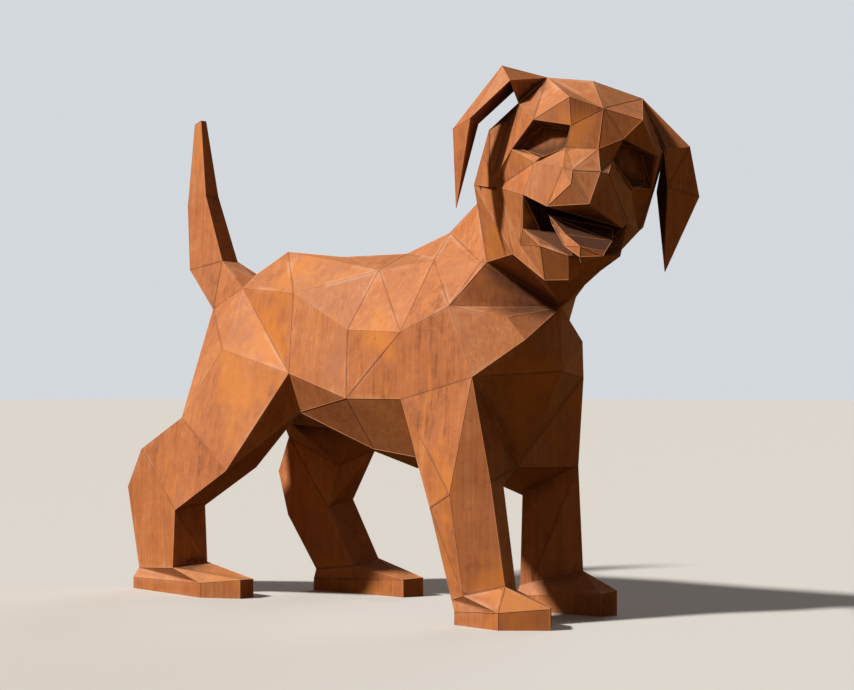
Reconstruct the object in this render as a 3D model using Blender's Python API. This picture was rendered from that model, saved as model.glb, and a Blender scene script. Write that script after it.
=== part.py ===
# A walking puppy of flat steel plates, welded edge to edge into one closed shell.
#
# The dog faces +X with its left side at +Y and stands on z = 0. A form like this has no
# circles to measure: it is a cage of corners with flat plates between them. So the shape is
# kept as corners in small shares of the whole height, each named after the place on the dog
# where it lies, and every plate is a short list of corner names. The two ears and the tongue
# are pieces of their own, welded on. Sheet work that can be measured by itself, such as the
# depth of an eye socket or the gap at a weld, has a size in metres.

import math

import bmesh
import bpy
from mathutils import Matrix, Vector

HEIGHT = 1.21
SHARES_HIGH = 1008.0
EYE_DEPTH = 0.026
EYE_TAPER = 0.80
WELD_GAP = 0.0003

# The head is turned to the dog's right, nods a little and is cocked towards its left ear.
HEAD_TURN = -45.0
HEAD_NOD = 9.0
HEAD_COCK = -16.0
HEAD_PLACE = (555, -81, 812)

STEEL = (0.40, 0.17, 0.075, 1.0)
TONGUE_STEEL = (0.46, 0.15, 0.06, 1.0)
SIDES = {"right": -1, "left": 1}

# Corners on the middle plane of the trunk: along, up.
MIDDLE = {
    "tail top": (-374, 661),
    "croup": (-267, 709),
    "loin": (-107, 691),
    "saddle": (69, 689),
    "withers": (182, 724),
    "throat": (452, 573),
    "breast": (456, 456),
    "brisket": (348, 279),
    "keel front": (215, 272),
    "keel middle": (96, 270),
    "keel rear": (-17, 300),
    "groin": (-150, 345),
    "crotch": (-258, 352),
}
# The nape follows the turned head and leaves the middle plane: along, across, up.
NAPE = (278, -30, 773)

# Corners that both flanks share: along, out from the middle plane, up.
FLANKS = {
    "rump": (-455, 40, 594),
    "croup side": (-346, 55, 635),
    "loin side": (-134, 113, 615),
    "back rear": (63, 73, 654),
    "back front": (206, 73, 667),
    "rib top": (31, 128, 538),
    "chest top": (190, 150, 530),
    "shoulder top": (311, 150, 575),
    "neck side": (337, 91, 656),
    "hip": (-329, 127, 506),
    "flank": (-122, 137, 455),
    "rib low": (48, 149, 406),
    "elbow rear": (197, 155, 405),
    "elbow front": (378, 164, 445),
    "shoulder front": (400, 92, 553),
    "shoulder point": (436, 85, 512),
    "groin side": (-128, 100, 378),
    "belly rear": (58, 82, 308),
    "belly front": (168, 82, 295),
}

# Where the neck meets the chest beside the throat: along, out, up.
NECK_FRONT = {"right": (352, 91, 656), "left": (398, 115, 598)}

# Each leg stands at its own stride, so each has its own corners: along, out, up.
FORELEGS = {
    "right": {
        "knee rear": (285, 173, 208),
        "knee outer": (343, 186, 234),
        "knee front": (405, 145, 258),
        "knee inner": (397, 100, 252),
        "knee back": (292, 95, 206),
        "wrist rear": (330, 164, 44),
        "wrist outer": (368, 177, 55),
        "wrist front": (431, 136, 72),
        "wrist inner": (423, 95, 63),
        "wrist back": (338, 92, 48),
        "fore heel": (340, 168, 24),
        "fore side": (450, 178, 31),
        "fore toe": (519, 118, 38),
        "fore toe inner": (488, 76, 35),
        "fore heel inner": (344, 84, 26),
    },
    "left": {
        "knee rear": (278, 168, 212),
        "knee outer": (340, 180, 240),
        "knee front": (372, 155, 276),
        "knee inner": (303, 100, 232),
        "knee back": (284, 95, 220),
        "wrist rear": (285, 165, 48),
        "wrist outer": (345, 180, 60),
        "wrist front": (383, 155, 77),
        "wrist inner": (300, 100, 54),
        "wrist back": (278, 95, 48),
        "fore heel": (282, 182, 28),
        "fore side": (395, 196, 36),
        "fore toe": (470, 145, 46),
        "fore toe inner": (460, 109, 42),
        "fore heel inner": (276, 84, 28),
    },
}
HINDLEGS = {
    "right": {
        "thigh rear": (-422, 155, 364),
        "thigh back": (-428, 62, 370),
        "hock top": (-551, 155, 297),
        "hock top inner": (-551, 105, 300),
        "hock": (-619, 136, 214),
        "hock inner": (-615, 92, 214),
        "stifle": (-256, 182, 260),
        "stifle inner": (-255, 100, 265),
        "shank front": (-411, 182, 175),
        "shank inner": (-391, 118, 183),
        "ankle rear": (-580, 136, 44),
        "ankle back": (-576, 95, 44),
        "ankle front": (-428, 173, 55),
        "ankle inner": (-394, 109, 65),
        "hind heel": (-588, 145, 24),
        "hind side": (-340, 176, 30),
        "hind toe": (-263, 136, 38),
        "hind toe inner": (-272, 92, 36),
        "hind heel inner": (-580, 86, 26),
    },
    "left": {
        "thigh rear": (-352, 150, 350),
        "thigh back": (-358, 91, 321),
        "hock top": (-385, 150, 258),
        "hock top inner": (-388, 90, 247),
        "hock": (-356, 150, 165),
        "hock inner": (-359, 90, 155),
        "stifle": (-158, 150, 298),
        "stifle inner": (-201, 82, 263),
        "shank front": (-224, 150, 190),
        "shank inner": (-240, 90, 176),
        "ankle rear": (-272, 150, 48),
        "ankle back": (-275, 92, 44),
        "ankle front": (-150, 150, 70),
        "ankle inner": (-169, 91, 57),
        "hind heel": (-272, 162, 26),
        "hind side": (-90, 176, 34),
        "hind toe": (-22, 148, 38),
        "hind toe inner": (-36, 104, 36),
        "hind heel inner": (-276, 86, 24),
    },
}

# The tail's sections from root to tip: rear edge along and up, front edge along and up,
# and half the width across.
TAIL = (
    (-551, 683, -447, 698, 22),
    (-563, 822, -505, 842, 18),
    (-553, 1001, -533, 1008, 7),
)

# The head's corners in its own frame: towards the nose, across to the left, up.
HEAD_MIDDLE = {
    "occiput": (-120, 0, 90),
    "crown": (-20, -18, 154),
    "brow middle": (76, 0, 111),
    "stop": (98, 9, 42),
    "nose low": (151, 14, -51),
    "lip rim": (125, 9, -146),
    "chin front": (103, 25, -187),
}
# The two halves of the face are not quite even, and the open jaw swings to the left:
# towards the nose, out from the middle, up.
HEAD_HALVES = {
    "right": {
        "poll": (-49, 94, 138),
        "brow": (73, 62, 113),
        "eye inner top": (82, 46, 68),
        "eye inner low": (84, 44, 28),
        "eye low": (80, 81, -1),
        "eye outer": (22, 126, -1),
        "eye outer top": (55, 108, 59),
        "ear front": (0, 135, 80),
        "temple": (-25, 142, 61),
        "bridge": (125, 27, -5),
        "muzzle edge": (118, 43, -5),
        "cheek top": (76, 87, -11),
        "nose side": (142, 25, -28),
        "lip": (115, 49, -76),
        "mouth corner": (78, 90, -69),
        "cheek rear": (-40, 137, -76),
        "cheek low": (-30, 124, -71),
        "jaw corner": (20, 63, -155),
        "jaw neck": (0, 68, -177),
        "jaw rim": (58, 71, -127),
        "jaw inner": (60, 40, -122),
        "jaw side": (100, 39, -145),
        "chin": (73, 10, -201),
        "palate back": (20, 48, -80),
        "floor back": (20, 34, -120),
        "fold top": (-60, 166, 20),
        "fold low": (-80, 162, -81),
    },
    "left": {
        "poll": (-49, 80, 151),
        "brow": (73, 72, 111),
        "eye inner top": (82, 48, 71),
        "eye inner low": (84, 40, 31),
        "eye low": (80, 90, -6),
        "eye outer": (22, 132, 2),
        "eye outer top": (55, 118, 60),
        "ear front": (0, 136, 75),
        "temple": (-25, 144, 61),
        "bridge": (125, 20, 6),
        "muzzle edge": (118, 35, 7),
        "cheek top": (76, 90, -12),
        "nose side": (142, 18, -33),
        "lip": (100, 88, -75),
        "mouth corner": (78, 99, -64),
        "cheek rear": (-40, 148, -68),
        "cheek low": (-30, 141, -76),
        "jaw corner": (20, 100, -139),
        "jaw neck": (-10, 66, -205),
        "jaw rim": (58, 105, -104),
        "jaw inner": (60, 86, -94),
        "jaw side": (85, 102, -124),
        "chin": (73, 74, -164),
        "palate back": (20, 66, -80),
        "floor back": (20, 60, -112),
        "fold top": (-60, 144, 20),
        "fold low": (-80, 128, -76),
    },
}

# An ear hangs from its ridge over an elbow to one tip, and has three long edges.
# Its root lies on the plate behind the temple and reaches this far down that plate.
EAR_ROOT_REACH = 0.45
EARS = {
    "right": (
        ((-20, 180, 134), (10, 162, 113), (-20, 147, 98)),
        ((-40, 230, 4), (10, 210, 31), (-20, 191, 25)),
        (-10, 187, -128),
    ),
    "left": (
        ((-20, 182, 93), (10, 134, 74), (-35, 150, 72)),
        ((-40, 229, 13), (10, 160, 14), (-25, 150, 0)),
        (-10, 204, -132),
    ),
}

# The tongue hangs out over the left half of the lower lip. Its sections run from root to tip,
# each with its near top, far top, far low, keel and near low corners: forward, across, up.
TONGUE = (
    ((20, -34, -86), (20, 54, -86), (20, 52, -95), (20, 22, -101), (20, -24, -98)),
    ((85, -37, -91), (85, 75, -82), (85, 73, -92), (85, 27, -105), (88, -28, -104)),
    ((125, -6, -113), (125, 74, -101), (125, 70, -113), (125, 23, -134), (125, -2, -132)),
    ((165, 18, -124), (168, 61, -120), (168, 60, -128), (158, 29, -151), (163, 23, -141)),
)

# Plates are lists of corners. One of more than three corners is folded flat along the lines
# from its first corner. These are made once for each side.
FLANK_PLATES = (
    ("tail top", "croup", "croup side"),
    ("croup", "loin side", "croup side"),
    ("croup", "loin", "back rear", "loin side"),
    ("loin", "saddle", "back rear"),
    ("saddle", "back front", "back rear"),
    ("saddle", "withers", "back front"),
    ("loin side", "back rear", "rib top"),
    ("back rear", "chest top", "rib top"),
    ("back rear", "back front", "chest top"),
    ("back front", "shoulder top", "chest top"),
    ("back front", "neck side", "shoulder top"),
    ("withers", "nape", "neck side", "back front"),
    ("nape", "neck front", "neck side"),
    ("neck side", "neck front", "shoulder top"),
    ("shoulder front", "throat", "shoulder point"),
    ("shoulder point", "throat", "breast"),
    ("shoulder point", "breast", "elbow front"),
    ("elbow front", "breast", "brisket"),
    ("shoulder top", "shoulder front", "shoulder point", "elbow front"),
    ("chest top", "shoulder top", "elbow front", "elbow rear"),
    ("chest top", "elbow rear", "rib low"),
    ("rib top", "chest top", "rib low"),
    ("loin side", "rib top", "rib low", "flank"),
    ("croup side", "loin side", "flank"),
    ("croup side", "flank", "hip"),
    ("rump", "croup side", "hip", "thigh rear"),
    ("flank", "rib low", "groin side"),
    ("rib low", "belly rear", "groin side"),
    ("rib low", "elbow rear", "belly front", "belly rear"),
    ("belly rear", "belly front", "keel middle", "keel rear"),
    ("belly front", "keel front", "keel middle"),
    ("groin side", "belly rear", "keel rear", "groin"),
)
# The head's turn pulls the neck round, so the plates beside the throat differ.
THROAT_PLATES = {
    "right": (
        ("neck front", "throat", "shoulder top"),
        ("shoulder top", "throat", "shoulder front"),
    ),
    "left": (
        ("neck front", "throat", "shoulder front"),
        ("neck front", "shoulder front", "shoulder top"),
    ),
}
FORELEG_PLATES = (
    ("elbow rear", "elbow front", "knee outer"),
    ("elbow rear", "knee outer", "knee rear"),
    ("elbow front", "knee front", "knee outer"),
    ("elbow front", "brisket", "knee front"),
    ("brisket", "knee inner", "knee front"),
    ("brisket", "keel front", "knee back", "knee inner"),
    ("keel front", "belly front", "knee back"),
    ("belly front", "elbow rear", "knee rear", "knee back"),
    ("knee rear", "knee outer", "wrist outer", "wrist rear"),
    ("knee outer", "knee front", "wrist front", "wrist outer"),
    ("knee front", "knee inner", "wrist inner", "wrist front"),
    ("knee inner", "knee back", "wrist back", "wrist inner"),
    ("knee back", "knee rear", "wrist rear", "wrist back"),
    ("wrist rear", "wrist outer", "fore side", "fore heel"),
    ("wrist outer", "wrist front", "fore side"),
    ("wrist front", "fore toe", "fore side"),
    ("wrist front", "wrist inner", "fore toe inner", "fore toe"),
    ("wrist inner", "wrist back", "fore heel inner", "fore toe inner"),
    ("wrist back", "wrist rear", "fore heel", "fore heel inner"),
)
HINDLEG_PLATES = (
    ("hip", "stifle", "thigh rear"),
    ("hip", "flank", "stifle"),
    ("thigh rear", "stifle", "shank front"),
    ("thigh rear", "shank front", "hock top"),
    ("hock top", "shank front", "hock"),
    ("hock", "shank front", "ankle rear"),
    ("ankle rear", "shank front", "ankle front"),
    ("flank", "groin side", "stifle"),
    ("groin side", "stifle inner", "stifle"),
    ("stifle", "stifle inner", "shank inner", "shank front"),
    ("shank front", "shank inner", "ankle inner", "ankle front"),
    ("rump", "thigh rear", "thigh back"),
    ("rump", "thigh back", "crotch"),
    ("thigh rear", "hock top", "hock top inner", "thigh back"),
    ("hock top", "hock", "hock inner", "hock top inner"),
    ("hock", "ankle rear", "ankle back", "hock inner"),
    ("stifle inner", "thigh back", "shank inner"),
    ("thigh back", "hock top inner", "shank inner"),
    ("hock top inner", "hock inner", "shank inner"),
    ("shank inner", "hock inner", "ankle back", "ankle inner"),
    ("groin side", "groin", "crotch"),
    ("groin side", "crotch", "stifle inner"),
    ("crotch", "thigh back", "stifle inner"),
    ("ankle rear", "ankle front", "hind side", "hind heel"),
    ("ankle front", "hind toe", "hind side"),
    ("ankle front", "ankle inner", "hind toe inner", "hind toe"),
    ("ankle inner", "ankle back", "hind heel inner", "hind toe inner"),
    ("ankle back", "ankle rear", "hind heel", "hind heel inner"),
)
FOOT_RINGS = (
    ("fore heel", "fore side", "fore toe", "fore toe inner", "fore heel inner"),
    ("hind heel", "hind side", "hind toe", "hind toe inner", "hind heel inner"),
)
HEAD_PLATES = (
    ("poll", "crown", "brow middle", "brow"),
    ("poll", "brow", "eye outer top", "ear front"),
    ("brow", "eye inner top", "eye outer top"),
    ("brow", "brow middle", "eye inner top"),
    ("brow middle", "stop", "eye inner top"),
    ("stop", "eye inner low", "eye inner top"),
    ("stop", "bridge", "eye inner low"),
    ("eye inner low", "bridge", "muzzle edge", "cheek top", "eye low"),
    ("bridge", "nose side", "muzzle edge"),
    ("muzzle edge", "nose side", "lip", "mouth corner", "cheek top"),
    ("nose side", "nose low", "lip"),
    ("eye outer", "eye low", "cheek top"),
    ("eye outer", "cheek top", "cheek low"),
    ("cheek top", "mouth corner", "cheek low"),
    ("ear front", "eye outer top", "eye outer", "temple"),
    ("temple", "eye outer", "cheek rear"),
    ("eye outer", "cheek low", "cheek rear"),
    ("ear front", "temple", "fold top"),
    ("fold top", "temple", "cheek rear", "fold low"),
    ("fold low", "cheek rear", "cheek low"),
    ("fold low", "cheek low", "jaw neck", "neck front"),
    ("nape", "fold low", "neck front"),
    ("cheek low", "mouth corner", "jaw corner", "jaw neck"),
    ("mouth corner", "jaw rim", "jaw corner"),
    ("jaw corner", "jaw rim", "jaw side"),
    ("jaw corner", "jaw side", "chin"),
    ("jaw side", "lip rim", "chin front", "chin"),
    ("jaw neck", "jaw corner", "chin"),
    ("jaw neck", "chin", "throat"),
    ("neck front", "jaw neck", "throat"),
    ("mouth corner", "jaw inner", "jaw rim"),
    ("jaw rim", "jaw inner", "lip rim", "jaw side"),
    ("poll", "ear front", "fold top"),
    ("poll", "fold top", "occiput"),
    ("poll", "occiput", "crown"),
    ("occiput", "fold top", "fold low", "nape"),
    ("mouth corner", "lip", "palate back"),
    ("mouth corner", "palate back", "floor back", "jaw inner"),
)
EYE_RIM = ("eye outer top", "eye inner top", "eye inner low", "eye low", "eye outer")

# Plates that bridge the two sides. A plus marks the left corner of a pair, a minus the right.
BRIDGE_PLATES = (
    ("-rump", "+rump", "crotch"),
    ("stop", "-bridge", "+bridge"),
    ("nose low", "-nose side", "-bridge", "+bridge", "+nose side"),
    ("nose low", "-lip", "+lip"),
    ("-lip", "+lip", "+palate back", "-palate back"),
    ("-palate back", "+palate back", "+floor back", "-floor back"),
    ("-floor back", "+floor back", "+jaw inner", "-jaw inner"),
    ("-jaw inner", "+jaw inner", "lip rim"),
    ("-chin", "chin front", "+chin"),
    ("-chin", "+chin", "throat"),
)


def share(place):
    """A place given in shares of the height, in metres."""
    return Vector(place) * HEIGHT / SHARES_HIGH


def head_frame():
    """Where the head sits on the neck and how it is turned."""
    turn = Matrix.Rotation(math.radians(HEAD_TURN), 4, "Z")
    nod = Matrix.Rotation(math.radians(HEAD_NOD), 4, "Y")
    cock = Matrix.Rotation(math.radians(HEAD_COCK), 4, "X")
    return Matrix.Translation(share(HEAD_PLACE)) @ turn @ nod @ cock


def on_head(forward, across, up):
    """A place on the head, given in the head's own frame."""
    return head_frame() @ share((forward, across, up))


def gather_corners():
    """Every corner in metres, under (name, side), or (name, None) on the middle plane."""
    corners = {("nape", None): share(NAPE)}
    for name, (along, up) in MIDDLE.items():
        corners[name, None] = share((along, 0.0, up))
    for name, (forward, across, up) in HEAD_MIDDLE.items():
        corners[name, None] = on_head(forward, across, up)
    for side, sign in SIDES.items():
        along, out, up = NECK_FRONT[side]
        corners["neck front", side] = share((along, sign * out, up))
        for group in (FLANKS, FORELEGS[side], HINDLEGS[side]):
            for name, (along, out, up) in group.items():
                corners[name, side] = share((along, sign * out, up))
        for name, (forward, out, up) in HEAD_HALVES[side].items():
            corners[name, side] = on_head(forward, sign * out, up)
    return corners


class Shell:
    """Corners and the triangles between them, gathered until they close into one body."""

    def __init__(self, corners):
        self.places = dict(corners)
        self.triangles = []

    def key(self, name, side):
        return (name, side) if (name, side) in self.places else (name, None)

    def plate(self, keys):
        """Adds a plate, folded along the lines from its first corner."""
        for second, third in zip(keys[1:], keys[2:]):
            self.triangles.append((keys[0], second, third))

    def band(self, ring, inner):
        """Joins two rings of the same number of corners with a plate for each edge."""
        for i, key in enumerate(ring):
            after = (i + 1) % len(ring)
            self.plate((key, ring[after], inner[after], inner[i]))

    def sink(self, ring, depth, taper, label):
        """Presses a ring of corners inwards: tapered walls and a flat floor."""
        rim = [self.places[key] for key in ring]
        centre = sum(rim, Vector()) / len(rim)
        normal = Vector()
        for here, there in zip(rim, rim[1:] + rim[:1]):
            normal += (here - centre).cross(there - centre)
        inward = -normal.normalized()
        if inward.dot(share(HEAD_PLACE) - centre) < 0:
            inward = -inward
        floor = []
        for key, place in zip(ring, rim):
            level = place + inward * (centre - place).dot(inward)
            floor.append((label + key[0], key[1]))
            self.places[floor[-1]] = centre + (level - centre) * taper + inward * depth
        self.band(ring, floor)
        self.plate(floor)

    def stand(self, ring):
        """Closes a foot: upright walls from its ring to the ground, and a flat sole."""
        sole = []
        for key in ring:
            sole.append(("sole " + key[0], key[1]))
            self.places[sole[-1]] = self.places[key] * Vector((1.0, 1.0, 0.0))
        self.band(ring, sole)
        self.plate(sole)


def build_tail(shell):
    """A tapering four-sided tail on the rump, which meets the croup in a point."""
    rings = []
    for step, (rear, rear_up, front, front_up, half) in enumerate(TAIL):
        ring = []
        for edge, side, along, up in (
            ("rear", "right", rear, rear_up),
            ("front", "right", front, front_up),
            ("front", "left", front, front_up),
            ("rear", "left", rear, rear_up),
        ):
            ring.append(("tail %s %d" % (edge, step), side))
            shell.places[ring[-1]] = share((along, SIDES[side] * half, up))
        rings.append(ring)
    root = [("rump", "right"), ("croup side", "right"), ("croup side", "left"), ("rump", "left")]
    first = rings[0]
    top = ("tail top", None)
    shell.plate((root[0], root[1], first[1], first[0]))
    shell.plate((root[2], root[3], first[3], first[2]))
    shell.plate((root[3], root[0], first[0], first[3]))
    shell.plate((root[1], top, first[1]))
    shell.plate((top, first[2], first[1]))
    shell.plate((top, root[2], first[2]))
    for ring, after in zip(rings, rings[1:]):
        shell.band(ring, after)
    shell.plate(rings[-1])


def build_shell(corners):
    """The trunk, legs, neck, head and tail as one closed shell."""
    shell = Shell(corners)
    for side in SIDES:
        for plates in (FLANK_PLATES, THROAT_PLATES[side], FORELEG_PLATES, HINDLEG_PLATES, HEAD_PLATES):
            for names in plates:
                shell.plate([shell.key(name, side) for name in names])
        for names in FOOT_RINGS:
            shell.stand([(name, side) for name in names])
        shell.sink([(name, side) for name in EYE_RIM], EYE_DEPTH, EYE_TAPER, "socket ")
    named = {"-": "right", "+": "left"}
    for names in BRIDGE_PLATES:
        shell.plate([(name.lstrip("+-"), named.get(name[0])) for name in names])
    build_tail(shell)
    return shell


def build_ear(corners, side):
    """A hanging three-sided ear, with its root a weld gap off the head's plate."""
    sign = SIDES[side]
    poll, front, fold = (corners[name, side] for name in ("poll", "ear front", "fold top"))
    low = poll.lerp(fold, EAR_ROOT_REACH)
    outward = (front - poll).cross(fold - poll).normalized() * sign
    ridge, elbow, tip = EARS[side]
    rings = [[place + outward * WELD_GAP for place in (poll, front, low)]]
    for ring in (ridge, elbow):
        rings.append([on_head(forward, sign * out, up) for forward, out, up in ring])
    ear = Shell({})
    keys = []
    for step, ring in enumerate(rings):
        keys.append([(step, i) for i in range(3)])
        ear.places.update(zip(keys[-1], ring))
    ear.places["tip"] = on_head(tip[0], sign * tip[1], tip[2])
    ear.plate(keys[0])
    ear.band(keys[0], keys[1])
    ear.band(keys[1], keys[2])
    for i in range(3):
        ear.plate((keys[2][i], keys[2][(i + 1) % 3], "tip"))
    return ear


def build_tongue():
    """A bent bar of a tongue, with its root a weld gap off the back wall of the mouth."""
    off_wall = head_frame().to_3x3() @ Vector((WELD_GAP, 0.0, 0.0))
    tongue = Shell({})
    keys = []
    for step, section in enumerate(TONGUE):
        keys.append([(step, i) for i in range(len(section))])
        for key, (forward, across, up) in zip(keys[-1], section):
            tongue.places[key] = on_head(forward, across, up) + (off_wall if step == 0 else Vector())
    tongue.plate(keys[0])
    for ring, after in zip(keys, keys[1:]):
        tongue.band(ring, after)
    near_top, far_top, far_low, keel, near_low = keys[-1]
    tongue.plate((near_top, far_top, far_low, near_low))
    tongue.plate((near_low, far_low, keel))
    return tongue


def steel(name, colour, roughness):
    """Bare weathered steel in one flat colour."""
    material = bpy.data.materials.new(name)
    material.use_nodes = True
    principled = material.node_tree.nodes["Principled BSDF"]
    principled.inputs["Base Color"].default_value = colour
    principled.inputs["Metallic"].default_value = 0.35
    principled.inputs["Roughness"].default_value = roughness
    material.diffuse_color = colour
    return material


def make_object(name, shell, shift, material):
    """One closed mesh, with its plates facing outwards."""
    keys = list(dict.fromkeys(key for triangle in shell.triangles for key in triangle))
    index = {key: i for i, key in enumerate(keys)}
    mesh = bpy.data.meshes.new(name)
    faces = [[index[key] for key in triangle] for triangle in shell.triangles]
    mesh.from_pydata([shell.places[key] + shift for key in keys], [], faces)
    work = bmesh.new()
    work.from_mesh(mesh)
    bmesh.ops.recalc_face_normals(work, faces=work.faces)
    work.to_mesh(mesh)
    work.free()
    mesh.materials.append(material)
    made = bpy.data.objects.new(name, mesh)
    bpy.context.scene.collection.objects.link(made)
    return made


def main():
    for old in list(bpy.data.objects):
        bpy.data.objects.remove(old, do_unlink=True)
    corners = gather_corners()
    bodies = {
        "shell": build_shell(corners),
        "ear_right": build_ear(corners, "right"),
        "ear_left": build_ear(corners, "left"),
        "tongue": build_tongue(),
    }
    places = [place for body in bodies.values() for place in body.places.values()]
    low = Vector([min(place[axis] for place in places) for axis in range(3)])
    high = Vector([max(place[axis] for place in places) for axis in range(3)])
    shift = Vector((-(low.x + high.x) / 2, -(low.y + high.y) / 2, -low.z))
    print("whole size in metres:", [round(side, 4) for side in high - low])
    print("moved by:", [round(side, 5) for side in shift])
    skins = {
        "shell": steel("plate_steel", STEEL, 0.72),
        "ear_right": steel("ear_steel_right", STEEL, 0.70),
        "ear_left": steel("ear_steel_left", STEEL, 0.70),
        "tongue": steel("tongue_steel", TONGUE_STEEL, 0.66),
    }
    for name, body in bodies.items():
        made = make_object(name, body, shift, skins[name])
        print(name, len(made.data.vertices), "corners,", len(made.data.polygons), "triangles")


main()
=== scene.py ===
# %% [markdown]
# # A walking puppy of flat rusted steel plates
# The real object is a garden sculpture about 1.2 m high. Its skin is flat steel plate, cut into
# three- and four-sided pieces and welded edge to edge, then left to rust to an even orange brown.
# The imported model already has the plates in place. This lesson lays a fine net over them, runs
# weld beads along their edges, and paints the rust.

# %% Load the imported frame
import math
import random

import bmesh
import bpy
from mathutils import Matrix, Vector, noise
from mathutils.bvhtree import BVHTree
from mathutils.geometry import delaunay_2d_cdt
from mathutils.kdtree import KDTree


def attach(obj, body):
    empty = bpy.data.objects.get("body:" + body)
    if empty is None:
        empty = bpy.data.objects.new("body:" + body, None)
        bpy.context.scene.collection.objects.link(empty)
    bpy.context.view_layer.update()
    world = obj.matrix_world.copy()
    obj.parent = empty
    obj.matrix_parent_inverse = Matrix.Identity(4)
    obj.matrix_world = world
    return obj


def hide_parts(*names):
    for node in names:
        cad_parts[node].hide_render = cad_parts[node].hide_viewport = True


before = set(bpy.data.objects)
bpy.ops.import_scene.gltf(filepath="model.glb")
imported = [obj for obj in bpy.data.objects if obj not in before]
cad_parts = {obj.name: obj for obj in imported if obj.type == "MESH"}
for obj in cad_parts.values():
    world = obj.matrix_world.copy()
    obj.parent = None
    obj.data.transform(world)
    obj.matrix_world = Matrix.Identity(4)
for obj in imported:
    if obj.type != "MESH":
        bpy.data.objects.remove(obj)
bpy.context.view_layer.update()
print("frame nodes:", sorted(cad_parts))

# %% [markdown]
# ## The camera
# The photograph is taken from the dog's right front, from a little below the middle of its
# height, with a long lens. The place, turn and lens were matched by trial, outside this lesson,
# to the corners of the plates in the photograph, so that the solids fall on their own picture.

# %% Set the camera
CAMERA_PLACE = (3.0706, -3.2701, 0.5063)
CAMERA_TURN = (91.357, 0.0, 42.0)
CAMERA_LENS = 80.09
SENSOR_WIDTH = 36.0

camera_data = bpy.data.cameras.new("view")
camera_data.lens = CAMERA_LENS
camera_data.sensor_width = SENSOR_WIDTH
camera_data.sensor_fit = "HORIZONTAL"
camera = bpy.data.objects.new("view", camera_data)
camera.location = CAMERA_PLACE
camera.rotation_euler = [math.radians(angle) for angle in CAMERA_TURN]
bpy.context.scene.collection.objects.link(camera)
bpy.context.scene.camera = camera
print("camera stands", round(math.dist(CAMERA_PLACE, (0, 0, 0.6)), 2), "m from the middle of the dog")

# %% [markdown]
# ## Floor and surrounding
# The dog stands on a plain pale floor. A pale floor throws much light up onto the belly and the
# chest, and on the real dog both are dark. So the floor and the surrounding are pale where the
# camera sees them, and throw back only a little warm light onto the shaded plates.

# %% Lay the floor
FLOOR_SIDE = 160.0
FLOOR_ROUGHNESS = 0.9
FLOOR_GLOSS = 0.1
FLOOR_SEEN = (0.62, 0.61, 0.60, 1.0)
FLOOR_CAST = (0.13, 0.08, 0.02, 1.0)
SURROUND_SEEN = (0.66, 0.69, 0.72, 1.0)
SURROUND_CAST = (0.105, 0.090, 0.075, 1.0)


def seen_or_cast(tree, seen, cast):
    """One colour for the camera and another for the light that is thrown back."""
    node = tree.nodes.new("ShaderNodeMix")
    node.data_type = "RGBA"
    light_path = tree.nodes.new("ShaderNodeLightPath")
    tree.links.new(light_path.outputs["Is Camera Ray"], node.inputs["Factor"])
    node.inputs[6].default_value = cast
    node.inputs[7].default_value = seen
    return node.outputs[2]


half = FLOOR_SIDE / 2
floor_mesh = bpy.data.meshes.new("floor")
floor_corners = [(-half, -half, 0), (half, -half, 0), (half, half, 0), (-half, half, 0)]
floor_mesh.from_pydata(floor_corners, [], [(0, 1, 2, 3)])
floor_paint = bpy.data.materials.new("floor_paint")
floor_paint.use_nodes = True
floor_shader = floor_paint.node_tree.nodes["Principled BSDF"]
floor_shader.inputs["Roughness"].default_value = FLOOR_ROUGHNESS
floor_shader.inputs["Specular IOR Level"].default_value = FLOOR_GLOSS
floor_paint.node_tree.links.new(seen_or_cast(floor_paint.node_tree, FLOOR_SEEN, FLOOR_CAST),
                                floor_shader.inputs["Base Color"])
floor_mesh.materials.append(floor_paint)
floor = bpy.data.objects.new("floor", floor_mesh)
bpy.context.scene.collection.objects.link(floor)

world = bpy.data.worlds.new("surround")
world.use_nodes = True
world.node_tree.links.new(seen_or_cast(world.node_tree, SURROUND_SEEN, SURROUND_CAST),
                          world.node_tree.nodes["Background"].inputs["Color"])
bpy.context.scene.world = world
print("floor is", FLOOR_SIDE, "m wide")

# %% [markdown]
# ## Two sun lamps
# A sun lamp shines from one direction everywhere, as daylight does, and its spread softens the
# shadows. The key lamp stands high on the dog's right and a little behind it, so that the back and
# the near flank are lit and the chest is in shade. The fill lamp stands low on the far side, where
# it lifts the shaded plates a little. It is weak and very soft, and it is kept out of gloss,
# because a low lamp glitters on plates that are seen edge on.

# %% Hang the lamps
KEY_TURN = (49.0, 0.0, -25.0)
KEY_STRENGTH = 4.75
KEY_SPREAD = 5.0
KEY_COLOUR = (1.0, 0.95, 0.87)
FILL_TURN = (76.0, 0.0, 198.0)
FILL_STRENGTH = 1.3
FILL_SPREAD = 40.0
FILL_COLOUR = (0.95, 0.97, 1.0)


def hang_sun(name, turn, strength, spread, colour, glossy=True):
    """A sun lamp, whose turn and spread are in degrees. It may shine without showing in gloss."""
    data = bpy.data.lights.new(name, "SUN")
    data.energy, data.angle, data.color = strength, math.radians(spread), colour
    lamp = bpy.data.objects.new(name, data)
    lamp.rotation_euler = [math.radians(angle) for angle in turn]
    lamp.visible_glossy = glossy
    bpy.context.scene.collection.objects.link(lamp)
    way = lamp.rotation_euler.to_matrix() @ Vector((0, 0, 1))
    print(name, "shines from", [round(v, 2) for v in way])


hang_sun("key_lamp", KEY_TURN, KEY_STRENGTH, KEY_SPREAD, KEY_COLOUR)
hang_sun("fill_lamp", FILL_TURN, FILL_STRENGTH, FILL_SPREAD, FILL_COLOUR, glossy=False)
bpy.context.scene.view_settings.view_transform = "Standard"

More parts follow.
